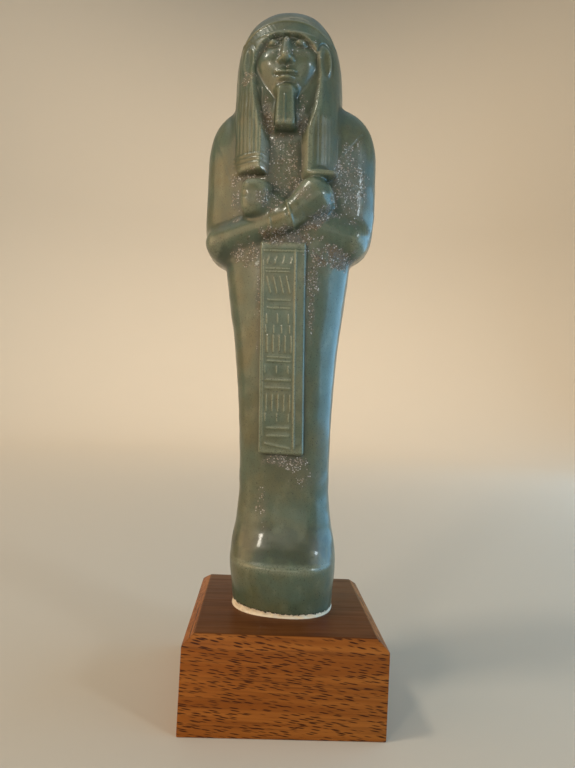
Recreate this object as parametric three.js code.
// A ushabti, the small mummy-shaped funerary figure, cast in one piece in green-glazed
// ceramic and glued on a square block of varnished beech. Millimetres, +Z up. The origin is
// the centre of the block's underside, and the figure faces -Y.

import * as THREE from "three";

// ---- Driving dimensions ---------------------------------------------------------------

// The block: a square prism whose upper edges are planed off.
const BLOCK_SIDE = 46;
const BLOCK_HEIGHT = 21.5;
const BEVEL_INWARD = 2.5;
const BEVEL_DOWN = 2;

// The figure stands a little turned and a little out of plumb on its block.
const FIGURE_TURN = THREE.MathUtils.degToRad(-8);
const FIGURE_LEAN = THREE.MathUtils.degToRad(-2);
const FIGURE_OFFSET = { x: -0.3, y: 0.5 };

// Everything below is in the figure's own frame: x across, y from front to back, z up from
// the soles.

// Wrapped legs, hips and chest, from the soles up: height, half width, reach to the front
// and reach to the back.
const WRAPPED_BODY = [
  [0, 12.9, 11.6, 10.6],
  [11.4, 13.65, 12.2, 10.8],
  [12.8, 13.6, 11.2, 10.7],
  [16, 13.35, 9.2, 10.4],
  [21, 12.5, 7.8, 9.8],
  [30, 11.75, 7.3, 9.4],
  [47, 12.2, 8.3, 10],
  [64, 13.4, 9.4, 11.2],
  [80, 15.5, 10.2, 12.1],
  [92, 16.8, 10, 12.2],
  [120, 15, 8.4, 11],
];
const BODY_ROUNDNESS = 2.4; // 2 is an ellipse, and more is squarer
const BODY_TOP = 124;

// Shoulders and upper arms are one broad mass, square at the elbows and round on top.
// They sit a little to +X at the top, and the elbow on -X hangs a little lower.
const SHOULDERS = { x: 0.5, y: 1.3, z: 110, halfWidth: 22.5, halfDepth: 10.3 };
const SHOULDER_SLANT = 0.025;
const SHOULDER_RISE = 20.6;
const SHOULDER_ROUNDNESS = 3.3;
const ELBOW_DROP = 22.6;
const ELBOW_SLANT = 0.068;
const ELBOW_ROUNDNESS = 6;

// Wig: a long dome whose sides run straight down to the shoulders.
const WIG = { x: -0.2, y: 0.6, z: 134, halfWidth: 14.2, front: 13.1, back: 12.4 };
const WIG_RISE = 21.1;
const WIG_ROUNDNESS = 2.3;
const WIG_BACK_HEM = 112;

// The wig's two lappets, which lie on the chest and run on from the sides of the dome.
const LAPPET = { inner: 5.4, outer: 14.1, front: 13.4, hem: 109 };
const LAPPET_ROUNDNESS = 2.8;

// The face by the usual proportions: the eyes half way up the head, and the brow, the base
// of the nose and the chin at equal distances.
const CHIN = 127.6;
const SKULL_TOP = 155.2;
const FACE_THIRD = (SKULL_TOP - CHIN) / 3.5;
const BROW = CHIN + 2 * FACE_THIRD;
const NOSE_BASE = CHIN + FACE_THIRD;
const EYES = (CHIN + SKULL_TOP) / 2;
const MOUTH = NOSE_BASE - FACE_THIRD / 3;
const FACE_HALF_WIDTH = 8.3;
const FACE_FRONT = -12.2;
const FACE_SET_BACK = 2.3;
const EYE_WIDTH = (2 * FACE_HALF_WIDTH) / 5;
const FACE_MIDDLE = (CHIN + BROW) / 2 + 0.4;

const THROAT = { at: [0, -4, 123.5], half: [8, 6.8, 7] };
const EAR = { x: 9.5, y: -10.4, z: 138, halfWidth: 1.7, halfHeight: 4.6 };
const BEARD = { halfWidth: 2.25, front: -14, end: 119 };

// Forearms: from elbow to wrist, each with its centre and radius. The right arm of the
// figure, on -X, crosses over the other one.
const OVER_ARM = [
  { at: [-16.5, -5.4, 92.9], radius: 4.4 },
  { at: [1.2, -11.9, 97.2], radius: 2.9 },
];
const OVER_HAND = [
  { at: [3, -11.9, 98.9], radius: 3.3 },
  { at: [8.2, -11, 102.9], radius: 3.7 },
];
const UNDER_ARM = [
  { at: [16.4, -5, 94.2], radius: 4.1 },
  { at: [-4, -9.6, 100.4], radius: 3.6 },
];
const UNDER_FIST = { at: [-7.7, -11.4, 102.1], half: [3, 3.3, 4.6] };
const IMPLEMENT_STUB = { at: [9, -11.3, 108.5], half: [3.3, 2.8, 1.9] };

// The raised column on the legs that carries the inscription.
const PANEL = { halfWidth: 5.7, bottom: 39, top: 91.4, frontAtBottom: 9.5, frontAtTop: 11.6 };
const PANEL_EDGE = 0.6;

// ---- Shaping tools: a form is a distance in mm, negative inside it ----------------------

// A smooth profile through stations, level wherever it turns round.
function profile(stations, column) {
  const heights = stations.map((station) => station[0]);
  const values = stations.map((station) => station[column]);
  const last = values.length - 1;
  const rise = (i) => (values[i + 1] - values[i]) / (heights[i + 1] - heights[i]);
  const slopes = values.map((_, i) => {
    if (i === 0 || i === last || rise(i - 1) * rise(i) <= 0) return 0;
    return (2 * rise(i - 1) * rise(i)) / (rise(i - 1) + rise(i));
  });
  return (z) => {
    if (z <= heights[0]) return values[0];
    if (z >= heights[last]) return values[last];
    const i = heights.findIndex((height) => height > z) - 1;
    const span = heights[i + 1] - heights[i];
    const t = (z - heights[i]) / span;
    const ease = t * t * (3 - 2 * t);
    const bend = t * (1 - t) * span;
    const bulge = bend * (slopes[i] * (1 - t) - slopes[i + 1] * t);
    return values[i] + (values[i + 1] - values[i]) * ease + bulge;
  };
}

const join = (a, b, soft) => {
  const overlap = Math.max(soft - Math.abs(a - b), 0);
  return Math.min(a, b) - (overlap * overlap) / (4 * soft);
};
const common = (a, b, soft) => -join(-a, -b, soft);
const hollow = (solid, tool, soft) => common(solid, -tool, soft);

// A rounded block: an ellipsoid at power 2, and squarer above.
function ovoid([x, y, z], [cx, cy, cz], [rx, ry, rz], power = 2) {
  const [dx, dy, dz] = [x - cx, y - cy, z - cz];
  const sum = Math.abs(dx / rx) ** power + Math.abs(dy / ry) ** power + Math.abs(dz / rz) ** power;
  return Math.hypot(dx, dy, dz) * (1 - 1 / Math.max(sum ** (1 / power), 1e-6));
}

// A limb: a round bar that tapers from one end's radius to the other's.
function limb([x, y, z], [from, to]) {
  const along = to.at.map((value, i) => value - from.at[i]);
  const away = [x, y, z].map((value, i) => value - from.at[i]);
  const dot = (a, b) => a[0] * b[0] + a[1] * b[1] + a[2] * b[2];
  const t = THREE.MathUtils.clamp(dot(away, along) / dot(along, along), 0, 1);
  const off = away.map((value, i) => value - along[i] * t);
  return Math.hypot(...off) - THREE.MathUtils.lerp(from.radius, to.radius, t);
}

// A box with rounded edges.
function roundedBox([x, y, z], [cx, cy, cz], [hx, hy, hz], radius) {
  const out = [Math.abs(x - cx) - hx, Math.abs(y - cy) - hy, Math.abs(z - cz) - hz];
  const past = out.map((value) => Math.max(value + radius, 0));
  return Math.hypot(...past) + Math.min(Math.max(...out) + radius, 0) - radius;
}

// ---- The figure's forms -----------------------------------------------------------------

const bodyHalfWidth = profile(WRAPPED_BODY, 1);
const bodyFront = profile(WRAPPED_BODY, 2);
const bodyBack = profile(WRAPPED_BODY, 3);

function wrappedBody([x, y, z]) {
  const depth = y < 0 ? bodyFront(z) : bodyBack(z);
  const across = Math.abs(x / bodyHalfWidth(z)) ** BODY_ROUNDNESS;
  const deep = Math.abs(y / depth) ** BODY_ROUNDNESS;
  const size = Math.max((across + deep) ** (1 / BODY_ROUNDNESS), 1e-6);
  return common(Math.hypot(x, y) * (1 - 1 / size), z - BODY_TOP, 6);
}

function shoulders([x, y, z]) {
  const [dy, dz] = [y - SHOULDERS.y, z - SHOULDERS.z];
  const dx = x - SHOULDERS.x - SHOULDER_SLANT * dz;
  const flat = 2.5;
  const section =
    Math.abs(dx / SHOULDERS.halfWidth) ** flat + Math.abs(dy / SHOULDERS.halfDepth) ** flat;
  const power = dz > 0 ? SHOULDER_ROUNDNESS : ELBOW_ROUNDNESS;
  const reach = dz > 0 ? SHOULDER_RISE : ELBOW_DROP - ELBOW_SLANT * dx;
  const size = (section ** (power / flat) + Math.abs(dz / reach) ** power) ** (1 / power);
  return Math.hypot(dx, dy, dz) * (1 - 1 / Math.max(size, 1e-6));
}

// A dome on straight sides, whose front and back reach differently.
function dome([x, y, z], halfWidth, front, back, power) {
  const [dx, dy, dz] = [x - WIG.x, y - WIG.y, Math.max(z - WIG.z, 0)];
  const sum =
    Math.abs(dx / halfWidth) ** power +
    Math.abs(dy / (dy < 0 ? front : back)) ** power +
    (dz / WIG_RISE) ** power;
  return Math.hypot(dx, dy, dz) * (1 - 1 / Math.max(sum ** (1 / power), 1e-6));
}

// The dome of the wig and its two lappets, open over the face up to the brow.
function wig(p) {
  const [x, y, z] = p;
  const crown = dome(p, WIG.halfWidth, WIG.front, WIG.back, WIG_ROUNDNESS);
  const hem = y < WIG.y ? CHIN - 4 : WIG_BACK_HEM;
  const cap = common(crown, hem - z, 3);
  const shell = dome(p, LAPPET.outer, LAPPET.front, LAPPET.front, LAPPET_ROUNDNESS);
  const strip = Math.max(LAPPET.inner - Math.abs(x - WIG.x), LAPPET.hem - z, z - WIG.z, y);
  const whole = join(cap, common(shell, strip, 1.6), 0.8);
  const rise = BROW + 0.3 - FACE_MIDDLE;
  const height = z < FACE_MIDDLE ? 1.5 * rise : rise;
  const away = Math.hypot(x / FACE_HALF_WIDTH, (z - FACE_MIDDLE) / height);
  const opening = Math.max((away - 1) * FACE_HALF_WIDTH, y - FACE_FRONT - FACE_SET_BACK);
  return hollow(whole, opening, 0.8);
}

function face(p) {
  const [x, y, z] = [Math.abs(p[0]), p[1], p[2]];
  const mirrored = [x, y, z];
  const depth = 8;
  const half = [FACE_HALF_WIDTH, depth, (BROW - CHIN) / 2 + 1.4];
  let form = ovoid(mirrored, [0, FACE_FRONT + depth, FACE_MIDDLE], half, 2.3);
  const socket = [EYE_WIDTH * 1.05, FACE_FRONT - 0.6, EYES];
  form = hollow(form, ovoid(mirrored, socket, [EYE_WIDTH * 0.75, 2.2, 1.7]), 1.2);
  const eyeball = [EYE_WIDTH, FACE_FRONT + 3.1, EYES];
  form = join(form, ovoid(mirrored, eyeball, [EYE_WIDTH * 0.5, 2.4, 1.1]), 0.5);
  const nose = [
    { at: [0, FACE_FRONT + 1.3, EYES], radius: 0.9 },
    { at: [0, FACE_FRONT - 0.6, NOSE_BASE + 1.4], radius: 1.4 },
  ];
  form = join(form, limb(mirrored, nose), 1);
  const lips = ovoid(mirrored, [0, FACE_FRONT + 1.4, MOUTH], [2.9, 2, 1.3]);
  const chin = ovoid(mirrored, [0, FACE_FRONT + 2.4, CHIN + 2], [2.6, 2.2, 2]);
  return join(join(form, lips, 0.8), chin, 1.5);
}

function ear([x, y, z]) {
  const half = [EAR.halfWidth, 1.7, EAR.halfHeight];
  return ovoid([Math.abs(x), y, z], [EAR.x, EAR.y, EAR.z], half, 2);
}

function beard(p) {
  const middle = (CHIN + BEARD.end) / 2;
  const half = [BEARD.halfWidth, 4, (CHIN - BEARD.end) / 2 + 1];
  return roundedBox(p, [0, BEARD.front + half[1], middle + 1], half, 0.9);
}

function panel(p) {
  const middle = (PANEL.bottom + PANEL.top) / 2;
  const climb = (p[2] - PANEL.bottom) / (PANEL.top - PANEL.bottom);
  const front = THREE.MathUtils.lerp(PANEL.frontAtBottom, PANEL.frontAtTop, climb);
  const half = [PANEL.halfWidth, front / 2, (PANEL.top - PANEL.bottom) / 2];
  return roundedBox(p, [0, -front / 2, middle], half, PANEL_EDGE);
}

function figure(p) {
  let form = join(wrappedBody(p), shoulders(p), 2);
  form = join(form, ovoid(p, THROAT.at, THROAT.half), 2);
  form = join(form, panel(p), 0.4);
  form = join(form, wig(p), 1.2);
  form = join(form, face(p), 0.5);
  form = join(form, ear(p), 0.6);
  form = join(form, beard(p), 0.6);
  form = join(form, limb(p, UNDER_ARM), 2);
  form = join(form, ovoid(p, UNDER_FIST.at, UNDER_FIST.half, 2.4), 0.6);
  form = join(form, limb(p, OVER_ARM), 1);
  form = join(form, limb(p, OVER_HAND), 1);
  return join(form, ovoid(p, IMPLEMENT_STUB.at, IMPLEMENT_STUB.half, 2.6), 0.8);
}

// ---- The figure's mesh: a turned blank whose skin is pressed onto the forms --------------

// Rows of the blank, closer where the carving is finer: from, to and number.
const ROWS = [
  [0, 24, 13],
  [24, 86, 17],
  [86, 112, 20],
  [112, 145, 23],
];
const CROWN_ROWS = 8;
const COLUMNS = 60;
const FRONT_CROWDING = 0.45;
const BLANK_RADIUS = 34;
const CROWN_CENTRE = ROWS.at(-1)[1];
const MARCH_STEP = 0.6;

function blank() {
  const outline = [new THREE.Vector2(0, 0)];
  for (const [from, to, count] of ROWS)
    for (let i = 0; i < count; i++)
      outline.push(new THREE.Vector2(BLANK_RADIUS, from + ((to - from) * i) / count));
  for (let i = 0; i < CROWN_ROWS; i++) {
    const angle = (Math.PI / 2) * (i / CROWN_ROWS);
    const height = CROWN_CENTRE + BLANK_RADIUS * Math.sin(angle);
    outline.push(new THREE.Vector2(BLANK_RADIUS * Math.cos(angle), height));
  }
  outline.push(new THREE.Vector2(0, CROWN_CENTRE + BLANK_RADIUS));
  return new THREE.LatheGeometry(outline, COLUMNS).rotateX(Math.PI / 2);
}

// Splits every four-sided facet along its shorter diagonal, so that slanting forms run smooth.
function splitShort(geometry) {
  const skin = geometry.getAttribute("position");
  const corner = (i) => new THREE.Vector3().fromBufferAttribute(skin, i);
  const index = geometry.getIndex();
  for (let i = 0; i < index.count; i += 6) {
    const [a, b, d, c] = [0, 1, 2, 3].map((k) => index.getX(i + k));
    if (corner(a).distanceTo(corner(c)) < corner(b).distanceTo(corner(d)))
      [a, b, c, a, c, d].forEach((vertex, k) => index.setX(i + k, vertex));
  }
  return geometry;
}

// The skin's distance from the core, found from outside inwards and then halved down.
function reach(core, direction) {
  const at = (r) => core.clone().addScaledVector(direction, r).toArray();
  let inner = BLANK_RADIUS;
  while (inner > 0 && figure(at(inner)) > 0) inner -= MARCH_STEP;
  let outer = inner + MARCH_STEP;
  for (let i = 0; i < 16; i++) {
    const middle = (inner + outer) / 2;
    if (figure(at(middle)) > 0) outer = middle;
    else inner = middle;
  }
  return inner;
}

function pressedSkin() {
  const geometry = blank();
  const skin = geometry.getAttribute("position");
  const vertex = new THREE.Vector3();
  for (let i = 0; i < skin.count; i++) {
    vertex.fromBufferAttribute(skin, i);
    const core = new THREE.Vector3(0, 0, Math.min(vertex.z, CROWN_CENTRE));
    const out = vertex.clone().sub(core);
    if (out.length() < 1) continue;
    const level = Math.hypot(out.x, out.y);
    if (level > 1e-6) {
      const turn = Math.atan2(out.x, -out.y);
      const crowded = turn - FRONT_CROWDING * Math.sin(turn);
      const widen = 1.4 - 0.3 * THREE.MathUtils.smoothstep(core.z, 120, 130);
      out.set(level * Math.sin(crowded) * widen, -level * Math.cos(crowded), out.z);
    }
    out.normalize();
    vertex.copy(core).addScaledVector(out, reach(core, out));
    if (core.z < 1e-6) vertex.z = 0;
    skin.setXYZ(i, vertex.x, vertex.y, vertex.z);
  }
  return splitShort(geometry);
}

// Turns the figure about its axis and shears it sideways, so that the soles stay flat.
function standOnBlock(geometry) {
  const lean = new THREE.Matrix4().makeShear(0, 0, 0, 0, Math.tan(FIGURE_LEAN), 0);
  return geometry
    .rotateZ(FIGURE_TURN)
    .applyMatrix4(lean)
    .translate(FIGURE_OFFSET.x, FIGURE_OFFSET.y, 0);
}

function makeFigurine() {
  const glaze = new THREE.MeshStandardMaterial({ color: 0x6c7a5f, roughness: 0.35, metalness: 0 });
  const mesh = new THREE.Mesh(standOnBlock(pressedSkin()), glaze);
  mesh.name = "figurine";
  mesh.position.z = BLOCK_HEIGHT;
  return mesh;
}

// ---- The block ---------------------------------------------------------------------------

function makePlinth() {
  const corner = Math.SQRT2;
  const half = BLOCK_SIDE / 2;
  const outline = [
    new THREE.Vector2(0, 0),
    new THREE.Vector2(half * corner, 0),
    new THREE.Vector2(half * corner, BLOCK_HEIGHT - BEVEL_DOWN),
    new THREE.Vector2((half - BEVEL_INWARD) * corner, BLOCK_HEIGHT),
    new THREE.Vector2(0, BLOCK_HEIGHT),
  ];
  const prism = new THREE.LatheGeometry(outline, 4, Math.PI / 4).rotateX(Math.PI / 2);
  const beech = new THREE.MeshStandardMaterial({ color: 0x8c5028, roughness: 0.4, metalness: 0 });
  const mesh = new THREE.Mesh(prism, beech);
  mesh.name = "plinth";
  return mesh;
}

const ushabti = new THREE.Group();
ushabti.add(makePlinth(), makeFigurine());
export default ushabti;
